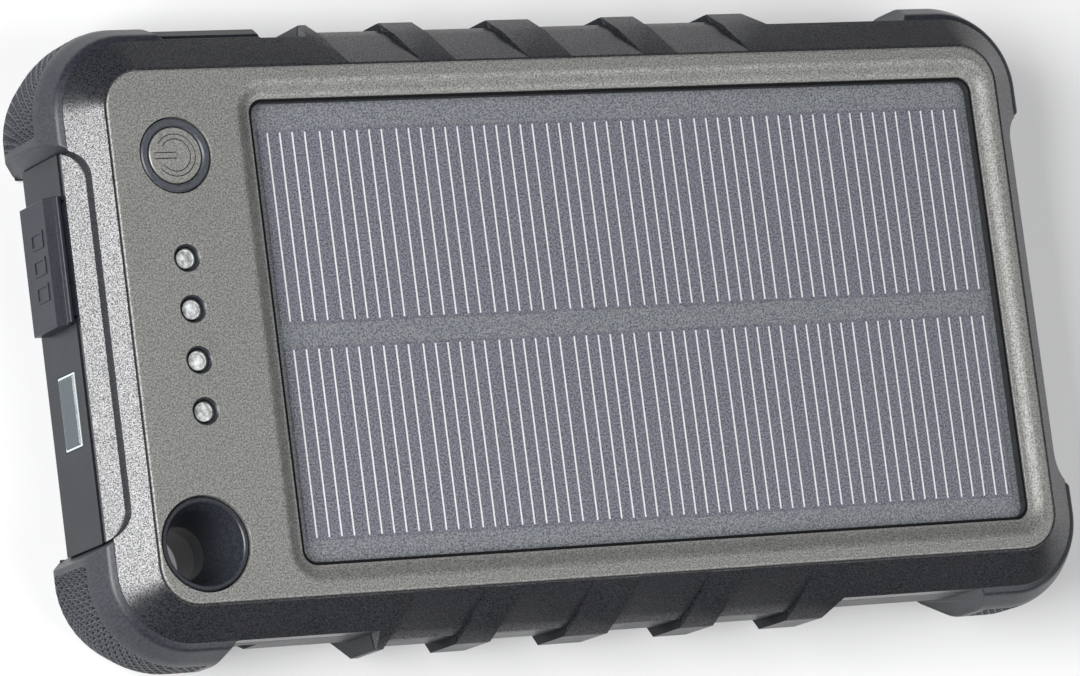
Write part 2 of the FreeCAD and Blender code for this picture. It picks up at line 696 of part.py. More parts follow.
def light_pipe(x, y):
    """Clear rod with a shoulder under the housing and a domed front end."""
    top = FRONT_Z - LIGHT_TIP_DEEP
    foot = rod(LIGHT_FOOT_R, x, y, SMALL_BOARD_TOP + 0.9, BAY_TOP_Z - 0.05)
    stem = rod(LIGHT_PIPE_R, x, y, BAY_TOP_Z - 0.5, top)
    ball = Part.makeSphere(LIGHT_DOME_R, vec(x, y, top + LIGHT_DOME_HIGH - LIGHT_DOME_R))
    dome = ball.common(rod(LIGHT_PIPE_R, x, y, top - 0.3, top + 1.0))
    return fused([foot, stem, dome])


def status_lights():
    low = SMALL_BOARD_TOP
    high = low + 0.75
    return Part.makeCompound([box(x - 0.8, x + 0.8, y - 0.4, y + 0.4, low, high) for x, y in light_places()])


def button_board():
    board = box(-61.4, -51.2, -14.0, 28.4, SMALL_BOARD_Z, SMALL_BOARD_TOP)
    holes = [rod(0.9, -59.9, y, SMALL_BOARD_Z - 1.0, SMALL_BOARD_TOP + 1.0) for y in (-12.4, 16.5)]
    return board.cut(holes)


# ---------------------------------------------------------------- eyelet
def eyelet_bush():
    """Bush with an hourglass hole through the whole corner."""
    top = FRONT_Z - 0.35
    low = 0.25
    middle = (top + low) / 2
    lip = 0.45
    return turned([
        (EYELET_WAIST_R, middle - EYELET_WAIST / 2),
        (EYELET_THROAT_R, low + EYELET_THROAT_DEEP),
        (EYELET_MOUTH_R - 0.15, low + lip),
        (EYELET_MOUTH_R, low + 0.12),
        (EYELET_MOUTH_R + 0.15, low),
        (EYELET_R - 0.2, low),
        (EYELET_R, low + 0.2),
        (EYELET_R, top - 0.2),
        (EYELET_R - 0.2, top),
        (EYELET_MOUTH_R + 0.15, top),
        (EYELET_MOUTH_R, top - 0.12),
        (EYELET_MOUTH_R - 0.15, top - lip),
        (EYELET_THROAT_R, top - EYELET_THROAT_DEEP),
        (EYELET_WAIST_R, middle + EYELET_WAIST / 2),
    ], EYELET_X, EYELET_Y)


# ---------------------------------------------------------------- USB port and its flap
def flap_plate(length, thick):
    """Flap outline along +Y against the wall plane x = 0, outwards towards -X."""
    chamfered = prism_xz([
        (-FLAP_GAP, FLAP_LOW_Z),
        (-thick, FLAP_LOW_Z),
        (-thick, FLAP_HIGH_Z - 1.35),
        (-thick + 0.95, FLAP_HIGH_Z),
        (-FLAP_GAP, FLAP_HIGH_Z),
    ], -length / 2, length / 2)
    rounded = [edge for edge in chamfered.Edges if edge.BoundBox.XMax < -thick + 1.0]
    return chamfered.makeFillet(FLAP_ROUND, rounded)


def flap_plug(half_long, half_high, z, deep):
    """Hollow plug behind the flap that fills the rim of the port."""
    outer = box(-FLAP_GAP - 0.2, deep, -half_long, half_long, z - half_high, z + half_high)
    inner = box(-FLAP_GAP, deep + 1.0, -half_long + 0.8, half_long - 0.8,
                z - half_high + 0.8, z + half_high - 0.8)
    return outer.cut(inner)


def flap_marks():
    """Three plain raised frames that help a thumb to find and lift the flap."""
    frames = []
    for offset in (-3.4, 0.0, 3.4):
        outer = box(-FLAP_THICK - 0.12, -FLAP_THICK + 0.2, offset - 1.1, offset + 1.1, 8.0, 11.6)
        inner = box(-FLAP_THICK - 1.0, -FLAP_THICK, offset - 0.75, offset + 0.75, 8.35, 11.25)
        frames.append(outer.cut(inner))
    return frames


def hinge_bead(length):
    """Anchor strip of the flap: a round bead with a foot pressed into the wall."""
    bead = Part.makeCylinder(HINGE_R, length, vec(-HINGE_OUT, -length / 2, HINGE_Z), vec(0, 1, 0))
    foot = box(-HINGE_OUT, 0.75, -length / 2 + 0.8, length / 2 - 0.8, HINGE_Z - 0.25, HINGE_Z + 0.22)
    return fused([bead, foot])


def to_left_wall(shape, y):
    """Place a flap piece against the short wall of the USB end."""
    placed = shape.copy()
    placed.translate(vec(-END_WALL_X, y, 0))
    return placed


def to_top_wall(shape, x):
    """Place a flap piece against the +Y wall."""
    placed = shape.copy()
    placed.rotate(vec(0, 0, 0), vec(0, 0, 1), -90)
    placed.translate(vec(x, BODY_Y, 0))
    return placed


def usb_flap():
    parts = [flap_plate(USB_FLAP_LONG, FLAP_THICK), flap_plug(7.1, 3.45, USB_Z, 1.3)] + flap_marks()
    return to_left_wall(fused(parts), USB_Y)


def charge_flap():
    plug = flap_plug(4.1, 1.8, CHARGE_Z, 1.1)
    return to_top_wall(fused([flap_plate(CHARGE_FLAP_LONG, CHARGE_FLAP_THICK), plug]), CHARGE_X)


def usb_shell():
    """Folded steel shell of the USB socket, open at its mouth."""
    mouth = -END_WALL_X + USB_RECESS
    outer = box(mouth, mouth + USB_DEEP, USB_Y - USB_WIDE / 2, USB_Y + USB_WIDE / 2,
                USB_Z - USB_HIGH / 2, USB_Z + USB_HIGH / 2)
    wall = USB_SHELL
    inner = box(mouth - 1.0, mouth + USB_DEEP - wall, USB_Y - USB_WIDE / 2 + wall, USB_Y + USB_WIDE / 2 - wall,
                USB_Z - USB_HIGH / 2 + wall, USB_Z + USB_HIGH / 2 - wall)
    windows = []
    for side in (-1, 1):
        middle = USB_Y + side * 3.0
        windows.append(box(mouth + 3.5, mouth + 6.5, middle - 1.0, middle + 1.0, USB_Z, USB_Z + 4.0))
    return outer.cut([inner] + windows)


def usb_tongue():
    mouth = -END_WALL_X + USB_RECESS
    blade = box(mouth + 1.7, mouth + USB_DEEP - 0.6, USB_Y - 5.6, USB_Y + 5.6, USB_Z + 0.3, USB_Z + 2.1)
    block = box(mouth + 10.5, mouth + USB_DEEP - USB_SHELL, USB_Y - 6.1, USB_Y + 6.1, USB_Z - 2.4, USB_Z + 2.4)
    return fused([blade, block])


def usb_contacts():
    mouth = -END_WALL_X + USB_RECESS
    strips = []
    for offset in (-3.5, -1.0, 1.0, 3.5):
        strips.append(box(mouth + 2.3, mouth + 10.4, USB_Y + offset - 0.5, USB_Y + offset + 0.5,
                          USB_Z + 0.1, USB_Z + 0.29))
    return Part.makeCompound(strips)


def charge_socket():
    """Small charging input socket behind the flap of the +Y side."""
    mouth = BODY_Y - CHARGE_RECESS
    half = CHARGE_WIDE / 2
    outer = prism_xz([
        (CHARGE_X - half, CHARGE_Z - CHARGE_HIGH / 2),
        (CHARGE_X + half, CHARGE_Z - CHARGE_HIGH / 2),
        (CHARGE_X + half, CHARGE_Z + 0.5),
        (CHARGE_X + half - 0.85, CHARGE_Z + CHARGE_HIGH / 2),
        (CHARGE_X - half + 0.85, CHARGE_Z + CHARGE_HIGH / 2),
        (CHARGE_X - half, CHARGE_Z + 0.5),
    ], mouth - CHARGE_DEEP, mouth)
    wall = 0.3
    inner = prism_xz([
        (CHARGE_X - half + wall, CHARGE_Z - CHARGE_HIGH / 2 + wall),
        (CHARGE_X + half - wall, CHARGE_Z - CHARGE_HIGH / 2 + wall),
        (CHARGE_X + half - wall, CHARGE_Z + 0.4),
        (CHARGE_X + half - 1.0, CHARGE_Z + CHARGE_HIGH / 2 - wall),
        (CHARGE_X - half + 1.0, CHARGE_Z + CHARGE_HIGH / 2 - wall),
        (CHARGE_X - half + wall, CHARGE_Z + 0.4),
    ], mouth - CHARGE_DEEP + wall, mouth + 1.0)
    return outer.cut(inner)


def charge_tongue():
    mouth = BODY_Y - CHARGE_RECESS
    return box(CHARGE_X - 1.9, CHARGE_X + 1.9, mouth - CHARGE_DEEP + 0.3, mouth - 0.5,
               CHARGE_Z + 0.1, CHARGE_Z + 0.7)


# ---------------------------------------------------------------- side light
def side_light_lens():
    """Clear block in the short wall, with a bevelled front face."""
    half_y = LENS_LONG / 2 - 0.12
    half_z = LENS_HIGH / 2 - 0.12
    front = -END_WALL_X - 0.2
    bevel = 0.45

    def ring(x, inset):
        y_low = LENS_Y - half_y + inset
        y_high = LENS_Y + half_y - inset
        z_low = LENS_Z - half_z + inset
        z_high = LENS_Z + half_z - inset
        corners = [vec(x, y_low, z_low), vec(x, y_high, z_low), vec(x, y_high, z_high), vec(x, y_low, z_high)]
        return Part.makePolygon(corners + [corners[0]])

    block = Part.makeLoft([ring(front, bevel), ring(front + bevel, 0.0), ring(-66.3, 0.0)], True, True)
    pocket = Part.makeLoft([ring(-67.9, 1.25), ring(-66.2, 0.8)], True, True)
    return block.cut(pocket)


def side_light_lamp():
    """Lamp package that stands on the edge of the main board."""
    body = box(-65.2, -63.7, LENS_Y - 2.5, LENS_Y + 2.5, BOARD_TOP, BOARD_TOP + 5.0)
    return body.cut(box(-66.0, -64.9, LENS_Y - 1.9, LENS_Y + 1.9, BOARD_TOP + 0.6, BOARD_TOP + 4.4))


def side_light_phosphor():
    return box(-65.15, -64.9, LENS_Y - 1.9, LENS_Y + 1.9, BOARD_TOP + 0.6, BOARD_TOP + 4.4)


# ---------------------------------------------------------------- electronics
def board_posts():
    return [(-62.0, 26.0), (-62.5, -15.0), (-45.0, -15.5), (-45.5, 22.0)]


def circuit_board():
    plan = [
        (-65.5, -17.8),
        (-43.2, -17.8),
        (-43.2, 33.0),
        (-58.6, 33.0),
        (-58.6, 27.6),
        (-65.5, 27.6),
    ]
    board = prism_xy(plan, BOARD_Z, BOARD_TOP)
    return board.cut([rod(0.9, x, y, BOARD_Z - 1.0, BOARD_TOP + 1.0) for x, y in board_posts()])


def board_screws():
    screws = []
    for x, y in board_posts():
        head = rod(1.5, x, y, BOARD_TOP, BOARD_TOP + 0.9)
        shank = rod(0.7, x, y, BOARD_Z, BOARD_TOP + 0.2)
        slot = box(x - 1.1, x + 1.1, y - 0.2, y + 0.2, BOARD_TOP + 0.5, BOARD_TOP + 2.0)
        screws.append(fused([head, shank]).cut(slot))
    return Part.makeCompound(screws)


def control_chips():
    places = ((-58.0, -9.5, 2.5), (-50.0, 1.2, 2.0), (-49.0, 25.0, 2.0))
    high = BOARD_TOP + 0.95
    return Part.makeCompound([box(x - h, x + h, y - h, y + h, BOARD_TOP, high) for x, y, h in places])


def power_inductor():
    x, y = INDUCTOR_X, INDUCTOR_Y
    low = BOARD_TOP
    base = slab(3.6, 3.6, 1.2, low, low + 1.0, x, y)
    core = rod(2.5, x, y, low + 0.9, low + 3.2)
    cap = slab(3.6, 3.6, 1.2, low + 3.1, low + 4.1, x, y)
    return fused([base, core, cap])


def inductor_winding():
    x, y = INDUCTOR_X, INDUCTOR_Y
    ring = rod(3.3, x, y, BOARD_TOP + 1.05, BOARD_TOP + 3.05)
    return ring.cut(rod(2.55, x, y, BOARD_TOP, BOARD_TOP + 4.0))


def chip_capacitors():
    places = [(-56.5 + 2.6 * index, -15.0) for index in range(3)]
    places += [(-62.8, -3.5 + 2.6 * index) for index in range(3)]
    return Part.makeCompound([box(x - 0.8, x + 0.8, y - 0.6, y + 0.6, BOARD_TOP, BOARD_TOP + 1.1) for x, y in places])


def board_link():
    """Pin strip that joins the button board to the main board."""
    pins = [rod(0.32, -52.6, y, BOARD_TOP, SMALL_BOARD_Z) for y in (-12.6, -10.6, -8.6, -6.6)]
    bar = box(-53.6, -51.6, -13.8, -5.4, SMALL_BOARD_Z - 2.0, SMALL_BOARD_Z - 0.05)
    return fused([bar] + pins)


# ---------------------------------------------------------------- battery
def battery_cell():
    length = (BATTERY_HIGH_X - BATTERY_LOW_X) / 2
    middle = (BATTERY_HIGH_X + BATTERY_LOW_X) / 2
    ease = 1.2
    return stacked([
        (length - ease, BATTERY_HALF_Y - ease, 1.3, BATTERY_LOW_Z),
        (length, BATTERY_HALF_Y, 2.5, BATTERY_LOW_Z + ease),
        (length, BATTERY_HALF_Y, 2.5, BATTERY_HIGH_Z - ease),
        (length - ease, BATTERY_HALF_Y - ease, 1.3, BATTERY_HIGH_Z),
    ], middle)


def protection_board():
    x = BATTERY_LOW_X
    return box(x - 1.6, x - 0.3, -14.0, 14.0, 6.6, 10.4)


def battery_pad_lower():
    return slab(44.0, 24.0, 3.0, REAR_FLOOR, BATTERY_LOW_Z, 10.0)


def battery_pad_upper():
    return slab(44.0, 24.0, 3.0, BATTERY_HIGH_Z, CAVITY_TOP_Z, 10.0)


def bent_lead(x_start, x_end, y, z_start, z_end, radius, bend):
    """Insulated lead that leaves along -X and turns down onto the board."""
    first = vec(x_start, y, z_start)
    turn_in = vec(x_end + bend, y, z_start)
    half = bend * (1 - math.cos(math.radians(45)))
    middle = vec(x_end + half, y, z_start - half)
    turn_out = vec(x_end, y, z_start - bend)
    last = vec(x_end, y, z_end)
    path = Part.Wire([
        Part.LineSegment(first, turn_in).toShape(),
        Part.Arc(turn_in, middle, turn_out).toShape(),
        Part.LineSegment(turn_out, last).toShape(),
    ])
    circle = Part.Wire([Part.makeCircle(radius, first, vec(1, 0, 0))])
    return path.makePipeShell([circle], True, True)


def battery_lead(y):
    return bent_lead(BATTERY_LOW_X - 1.6, -44.4, y, 9.2, BOARD_TOP, 0.6, 1.3)


def solar_lead(y):
    """Lead that drops from the solar module through the front housing onto the board."""
    x_top = -41.0
    x_low = -44.5
    z_top = backing_top() - BACKING_THICK
    z_mid = 15.0
    reach = (x_top - x_low) / 2
    path = Part.Wire([
        Part.LineSegment(vec(x_top, y, z_top), vec(x_top, y, z_mid)).toShape(),
        quarter(vec(x_top, y, z_mid), vec(x_top - reach, y, z_mid - reach), vec(x_top - reach, y, z_mid)),
        quarter(vec(x_top - reach, y, z_mid - reach), vec(x_low, y, z_mid - 2 * reach),
                vec(x_top - reach, y, z_mid - 2 * reach)),
        Part.LineSegment(vec(x_low, y, z_mid - 2 * reach), vec(x_low, y, BOARD_TOP)).toShape(),
    ])
    circle = Part.Wire([Part.makeCircle(0.5, vec(x_top, y, z_top), vec(0, 0, 1))])
    return path.makePipeShell([circle], True, True)


def quarter(start, end, centre):
    """Quarter arc in a plane of constant Y."""
    radius = (start - centre).Length
    bisector = (start - centre) + (end - centre)
    middle = centre + bisector.normalize() * radius
    return Part.Arc(start, middle, end).toShape()


# ---------------------------------------------------------------- screws
def case_screws():
    screws = []
    for x, y in SCREWS:
        head = cone(HEAD_R - 0.35, HEAD_R, x, y, HEAD_Z, HEAD_Z + 0.4)
        collar = rod(HEAD_R, x, y, HEAD_Z + 0.4, HEAD_Z + HEAD_THICK)
        shank = rod(SHANK_R, x, y, HEAD_Z + 0.5, 15.4)
        slots = [box(x - 1.1, x + 1.1, y - 0.22, y + 0.22, HEAD_Z - 1.0, HEAD_Z + 0.75)]
        slots.append(box(x - 0.22, x + 0.22, y - 1.1, y + 1.1, HEAD_Z - 1.0, HEAD_Z + 0.75))
        screws.append(fused([head, collar, shank]).cut(slots))
    return Part.makeCompound(screws)


# ---------------------------------------------------------------- build
def build():
    os.makedirs("parts", exist_ok=True)
    guards = corner_guards()
    for name, shape in guards.items():
        save(name, shape)
    guard_list = list(guards.values())
    save("front_housing", front_housing(guard_list))
    save("rear_housing", rear_housing(guard_list))
    save("front_panel", front_panel())
    save("case_seal", case_seal())
    save("solar_cover", solar_cover())
    save("cover_gasket", cover_gasket())
    save("solar_cells", solar_cells())
    save("solar_backing", solar_backing())
    save("button_ring", button_ring())
    save("button_cap", button_cap())
    save("switch_plunger", switch_plunger())
    save("button_switch", button_switch())
    save("button_board", button_board())
    for index, (x, y) in enumerate(light_places()):
        save("light_pipe_" + str(index + 1), light_pipe(x, y))
    save("status_lights", status_lights())
    save("eyelet_bush", eyelet_bush())
    save("usb_flap", usb_flap())
    save("usb_flap_bead", to_left_wall(hinge_bead(USB_FLAP_LONG - 0.4), USB_Y))
    save("charge_flap", charge_flap())
    save("charge_flap_bead", to_top_wall(hinge_bead(CHARGE_FLAP_LONG - 0.4), CHARGE_X))
    save("usb_shell", usb_shell())
    save("usb_tongue", usb_tongue())
    save("usb_contacts", usb_contacts())
    save("charge_socket", charge_socket())
    save("charge_tongue", charge_tongue())
    save("side_light_lens", side_light_lens())
    save("side_light_lamp", side_light_lamp())
    save("side_light_phosphor", side_light_phosphor())
    save("circuit_board", circuit_board())
    save("board_screws", board_screws())
    save("control_chips", control_chips())
    save("power_inductor", power_inductor())
    save("inductor_winding", inductor_winding())
    save("chip_capacitors", chip_capacitors())
    save("board_link", board_link())
    save("battery_cell", battery_cell())
    save("protection_board", protection_board())
    save("battery_pad_lower", battery_pad_lower())
    save("battery_pad_upper", battery_pad_upper())
    save("battery_lead_red", battery_lead(8.0))
    save("battery_lead_black", battery_lead(11.0))
    save("solar_lead_red", solar_lead(-1.5))
    save("solar_lead_black", solar_lead(1.5))
    save("case_screws", case_screws())


build()
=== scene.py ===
"""Looks of the solar phone charger: materials, knurled guards, printed cell lines, lights and camera."""
import json
import math

import bpy
from mathutils import Matrix, Vector


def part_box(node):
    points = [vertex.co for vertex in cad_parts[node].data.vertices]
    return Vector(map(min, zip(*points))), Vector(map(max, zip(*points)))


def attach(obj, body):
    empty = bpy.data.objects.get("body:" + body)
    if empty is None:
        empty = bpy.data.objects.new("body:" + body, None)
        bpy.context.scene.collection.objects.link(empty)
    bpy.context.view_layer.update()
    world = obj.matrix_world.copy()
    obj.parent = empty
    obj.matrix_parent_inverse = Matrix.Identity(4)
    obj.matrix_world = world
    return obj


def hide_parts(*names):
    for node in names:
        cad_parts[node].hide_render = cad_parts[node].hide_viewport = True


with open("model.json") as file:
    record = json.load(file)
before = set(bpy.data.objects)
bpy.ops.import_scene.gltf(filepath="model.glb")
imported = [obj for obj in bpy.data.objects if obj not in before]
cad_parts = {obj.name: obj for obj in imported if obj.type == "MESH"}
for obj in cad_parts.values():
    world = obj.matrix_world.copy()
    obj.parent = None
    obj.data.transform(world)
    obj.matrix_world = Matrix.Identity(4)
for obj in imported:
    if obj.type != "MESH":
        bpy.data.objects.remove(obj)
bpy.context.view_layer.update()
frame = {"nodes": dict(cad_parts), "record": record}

MM = 0.001
CASE = "case"
nodes = frame["nodes"]


# ---------------------------------------------------------------- measures taken from the frame
panel_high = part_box("front_panel")[1]
cells_low, cells_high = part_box("solar_cells")
cap_low, cap_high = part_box("button_cap")
guard_low, guard_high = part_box("corner_guard_right_top")
front_z = panel_high.z


# ---------------------------------------------------------------- camera
CAMERA_PLACE = Vector((-435.614, -137.870, 823.149)) * MM
# Directions of the picture's right and up, and from the object back to the camera.
CAMERA_RIGHT = Vector((0.884072, -0.126299, 0.449962))
CAMERA_UP = Vector((0.044010, 0.981012, 0.188890))
CAMERA_BACK = Vector((-0.465275, -0.147190, 0.872843))
CAMERA_LENS = 237.72


def make_camera():
    """Long lens, from the left of the panel and a little below its normal."""
    data = bpy.data.cameras.new("camera")
    data.lens = CAMERA_LENS
    data.sensor_width = 36.0
    data.clip_start = 0.05
    data.clip_end = 20.0
    camera = bpy.data.objects.new("camera", data)
    bpy.context.scene.collection.objects.link(camera)
    turn = Matrix((CAMERA_RIGHT, CAMERA_UP, CAMERA_BACK)).transposed().to_4x4()
    camera.matrix_world = Matrix.Translation(CAMERA_PLACE) @ turn
    bpy.context.scene.camera = camera


# ---------------------------------------------------------------- stage and light
def area_light(name, direction, distance, size, power):
    """Square soft light that faces the object from a direction."""
    data = bpy.data.lights.new(name, "AREA")
    data.shape = "SQUARE"
    data.size = size
    data.energy = power
    light = bpy.data.objects.new(name, data)
    bpy.context.scene.collection.objects.link(light)
    towards = Vector(direction).normalized()
    turn = towards.to_track_quat("Z", "Y").to_matrix().to_4x4()
    light.matrix_world = Matrix.Translation(towards * distance) @ turn


def make_lights():
    """Key light from the left, a soft light over the panel and a faint sky."""
    area_light("key_left", (-0.80, 0.0, 0.59), distance=0.9, size=0.56, power=13.0)
    area_light("panel_soft", (0.46, -0.40, 0.79), distance=1.1, size=0.9, power=6.4)
    world = bpy.data.worlds.new("studio")
    world.use_nodes = True
    background = world.node_tree.nodes["Background"]
    background.inputs["Color"].default_value = (0.93, 0.96, 1.0, 1.0)
    background.inputs["Strength"].default_value = 0.05
    scene = bpy.context.scene
    scene.world = world
    scene.view_settings.view_transform = "Standard"


FLOOR_HALF = 3.0
FLOOR_GAP = 0.2 * MM
FLOOR_GLOW = 0.2


def make_floor():
    """Pale lit table top."""
    mesh = bpy.data.meshes.new("floor")
    half = FLOOR_HALF
    corners = [(-half, -half, 0), (half, -half, 0), (half, half, 0), (-half, half, 0)]
    mesh.from_pydata(corners, [], [(0, 1, 2, 3)])
    floor = bpy.data.objects.new("floor", mesh)
    floor.location.z = -FLOOR_GAP
    bpy.context.scene.collection.objects.link(floor)
    material = bpy.data.materials.new("floor_paper")
    material.use_nodes = True
    shader = material.node_tree.nodes["Principled BSDF"]
    shader.inputs["Base Color"].default_value = (0.7, 0.7, 0.7, 1.0)
    shader.inputs["Roughness"].default_value = 0.8
    shader.inputs["Emission Color"].default_value = (0.97, 0.98, 1.0, 1.0)
    shader.inputs["Emission Strength"].default_value = FLOOR_GLOW
    mesh.materials.append(material)


# ---------------------------------------------------------------- material helpers
def new_material(name, roughness, metallic=0.0, specular=0.5):
    """Material with its even values set on the shader's own sockets."""
    material = bpy.data.materials.new(name)
    material.use_nodes = True
    shader = material.node_tree.nodes["Principled BSDF"]
    shader.inputs["Roughness"].default_value = roughness
    shader.inputs["Metallic"].default_value = metallic
    shader.inputs["Specular IOR Level"].default_value = specular
    return material, material.node_tree, shader


def object_coordinates(tree):
    """Coordinates of the object's own frame, in metres."""
    return tree.nodes.new("ShaderNodeTexCoord").outputs["Object"]


def noise(tree, coordinates, scale, detail, roughness=0.5):
    """Noise whose grain is about one over scale, in metres."""
    node = tree.nodes.new("ShaderNodeTexNoise")
    node.inputs["Scale"].default_value = scale
    node.inputs["Detail"].default_value = detail
    node.inputs["Roughness"].default_value = roughness
    tree.links.new(coordinates, node.inputs["Vector"])
    return node.outputs["Fac"]


def ramp(tree, value, stops):
    """Colour ramp between two (position, colour) stops."""
    node = tree.nodes.new("ShaderNodeValToRGB")
    for element, (position, colour) in zip(node.color_ramp.elements, stops):
        element.position = position
        element.color = (*colour, 1.0)
    tree.links.new(value, node.inputs["Fac"])
    return node.outputs["Color"]


def value_range(tree, value, low, high, from_low=0.3, from_high=0.7):
    """A noise value stretched to a range."""
    node = tree.nodes.new("ShaderNodeMapRange")
    node.inputs["From Min"].default_value = from_low
    node.inputs["From Max"].default_value = from_high
    node.inputs["To Min"].default_value = low
    node.inputs["To Max"].default_value = high
    tree.links.new(value, node.inputs["Value"])
    return node.outputs["Result"]


def bump(tree, shader, height, distance):
    """Relief of a given depth, in metres, on the shader's normal."""
    node = tree.nodes.new("ShaderNodeBump")
    node.inputs["Strength"].default_value = 1.0
    node.inputs["Distance"].default_value = distance
    tree.links.new(height, node.inputs["Height"])
    tree.links.new(node.outputs["Normal"], shader.inputs["Normal"])


GRAIN_LOW = 0.38             # noise values that give a grain's dark and light colour
GRAIN_HIGH = 0.62
GRAIN_DETAIL = 3.0
GRAIN_ROUGHNESS = 0.6
PATCH_SCALE = 90.0           # slow change of roughness over about a centimetre
FLECK_SCALE = 1.3            # flecks of sheen against the grain
FLECK_LOW = 0.36
FLECK_HIGH = 0.64


def grained(name, dark, light, grain, depth, roughness, rough_spread=0.06, sparkle=None, **finish):
    """Moulded surface: fine grain in colour, height and (if asked) sheen, and slow change in roughness."""
    material, tree, shader = new_material(name, roughness, **finish)
    place = object_coordinates(tree)
    fine = noise(tree, place, grain, GRAIN_DETAIL, GRAIN_ROUGHNESS)
    colour = ramp(tree, fine, [(GRAIN_LOW, dark), (GRAIN_HIGH, light)])
    tree.links.new(colour, shader.inputs["Base Color"])
    slow = noise(tree, place, PATCH_SCALE, GRAIN_DETAIL)
    rough = value_range(tree, slow, roughness - rough_spread, roughness + rough_spread)
    tree.links.new(rough, shader.inputs["Roughness"])
    bump(tree, shader, fine, depth)
    if sparkle:
        flecks = noise(tree, place, FLECK_SCALE * grain, 1.0)
        sheen = value_range(tree, flecks, sparkle[0], sparkle[1], FLECK_LOW, FLECK_HIGH)
        tree.links.new(sheen, shader.inputs["Specular IOR Level"])
    return material


CLEAR_LOW = 0.35             # noise values that give the darkest tint and the plain colour
CLEAR_HIGH = 0.65
CLEAR_SPREAD = 0.05          # change of roughness with the grain
CLEAR_DEPTH = 0.00002
CLEAR_IOR = 1.5


def clear(name, colour, alpha, roughness, grain=2600.0, shade=0.9):
    """Clear moulding with a fine matte surface, mottled down to a share of its colour."""
    material, tree, shader = new_material(name, roughness)
    place = object_coordinates(tree)
    fine = noise(tree, place, grain, GRAIN_DETAIL, GRAIN_ROUGHNESS)
    tint = ramp(tree, fine, [(CLEAR_LOW, tuple(shade * c for c in colour)), (CLEAR_HIGH, colour)])
    tree.links.new(tint, shader.inputs["Base Color"])
    rough = value_range(tree, fine, roughness - CLEAR_SPREAD, roughness + CLEAR_SPREAD)
    tree.links.new(rough, shader.inputs["Roughness"])
    shader.inputs["Alpha"].default_value = alpha
    shader.inputs["IOR"].default_value = CLEAR_IOR
    bump(tree, shader, fine, CLEAR_DEPTH)
    return material


# ---------------------------------------------------------------- materials
# name: dark colour, light colour, grains per metre, relief in metres, roughness, other settings
GRAINED = {
    "housing_paint": ((0.006, 0.0065, 0.0085), (0.035, 0.036, 0.042), 4600.0, 0.000008, 0.27,
                      {"rough_spread": 0.02, "sparkle": (0.2, 1.0)}),
    "panel_paint": ((0.12, 0.121, 0.115), (0.33, 0.33, 0.315), 4600.0, 0.00002, 0.47, {"metallic": 0.35}),
    "housing_plastic": ((0.012, 0.014, 0.018), (0.02, 0.022, 0.028), 3000.0, 0.00001, 0.38,
                        {"specular": 0.27}),
    "guard_rubber": ((0.012, 0.014, 0.020), (0.03, 0.033, 0.042), 3000.0, 0.00002, 0.38, {}),
    "flap_rubber": ((0.011, 0.012, 0.018), (0.02, 0.022, 0.031), 3000.0, 0.00001, 0.36, {"specular": 0.25}),
    "eyelet_plastic": ((0.014, 0.016, 0.022), (0.03, 0.033, 0.042), 3400.0, 0.00001, 0.34, {}),
    "black_plastic": ((0.012, 0.012, 0.013), (0.02, 0.02, 0.022), 2500.0, 0.00001, 0.45, {}),
    "seal_rubber": ((0.003, 0.003, 0.004), (0.006, 0.006, 0.007), 2500.0, 0.00001, 0.7, {"specular": 0.15}),
    "button_ring": ((0.04, 0.044, 0.053), (0.075, 0.081, 0.093), 3400.0, 0.00001, 0.38, {}),
    "button_cap": ((0.17, 0.17, 0.161), (0.33, 0.33, 0.314), 4600.0, 0.00001, 0.42, {"metallic": 0.35}),
    "white_plastic": ((0.72, 0.72, 0.7), (0.8, 0.8, 0.78), 1200.0, 0.00001, 0.4, {}),
    "steel": ((0.55, 0.55, 0.54), (0.66, 0.66, 0.64), 900.0, 0.000005, 0.28, {"metallic": 1.0}),
    "gold_contact": ((0.8, 0.58, 0.25), (0.9, 0.68, 0.32), 900.0, 0.000003, 0.25, {"metallic": 1.0}),
    "circuit_board": ((0.01, 0.09, 0.035), (0.02, 0.14, 0.05), 500.0, 0.000005, 0.35, {}),
    "chip_black": ((0.014, 0.014, 0.015), (0.022, 0.022, 0.023), 2200.0, 0.000006, 0.5, {}),
    "ferrite": ((0.05, 0.05, 0.055), (0.09, 0.09, 0.095), 1500.0, 0.00001, 0.6, {}),
    "copper": ((0.6, 0.26, 0.12), (0.78, 0.38, 0.2), 1500.0, 0.00001, 0.3, {"metallic": 1.0}),
    "ceramic": ((0.45, 0.34, 0.24), (0.58, 0.45, 0.33), 1500.0, 0.000004, 0.45, {}),
    "battery_foil": ((0.5, 0.51, 0.53), (0.64, 0.65, 0.67), 300.0, 0.00003, 0.32, {"metallic": 0.9}),
    "foam": ((0.02, 0.02, 0.02), (0.06, 0.06, 0.06), 900.0, 0.0001, 0.9, {}),
    "wire_red": ((0.42, 0.012, 0.012), (0.5, 0.02, 0.02), 900.0, 0.000004, 0.4, {}),
    "wire_black": ((0.012, 0.012, 0.012), (0.02, 0.02, 0.02), 900.0, 0.000004, 0.4, {}),
    "phosphor": ((0.75, 0.62, 0.1), (0.85, 0.75, 0.2), 1500.0, 0.000004, 0.5, {}),
    "solar_cell": ((0.015, 0.015, 0.02), (0.268, 0.27, 0.343), 4200.0, 0.00001, 0.45, {}),
    "solar_board": ((0.052, 0.062, 0.08), (0.312, 0.324, 0.343), 4200.0, 0.00001, 0.5, {}),
    "finger_silver": ((0.94, 0.94, 0.95), (0.99, 0.99, 1.0), 2000.0, 0.000002, 0.4, {"metallic": 0.1}),
}
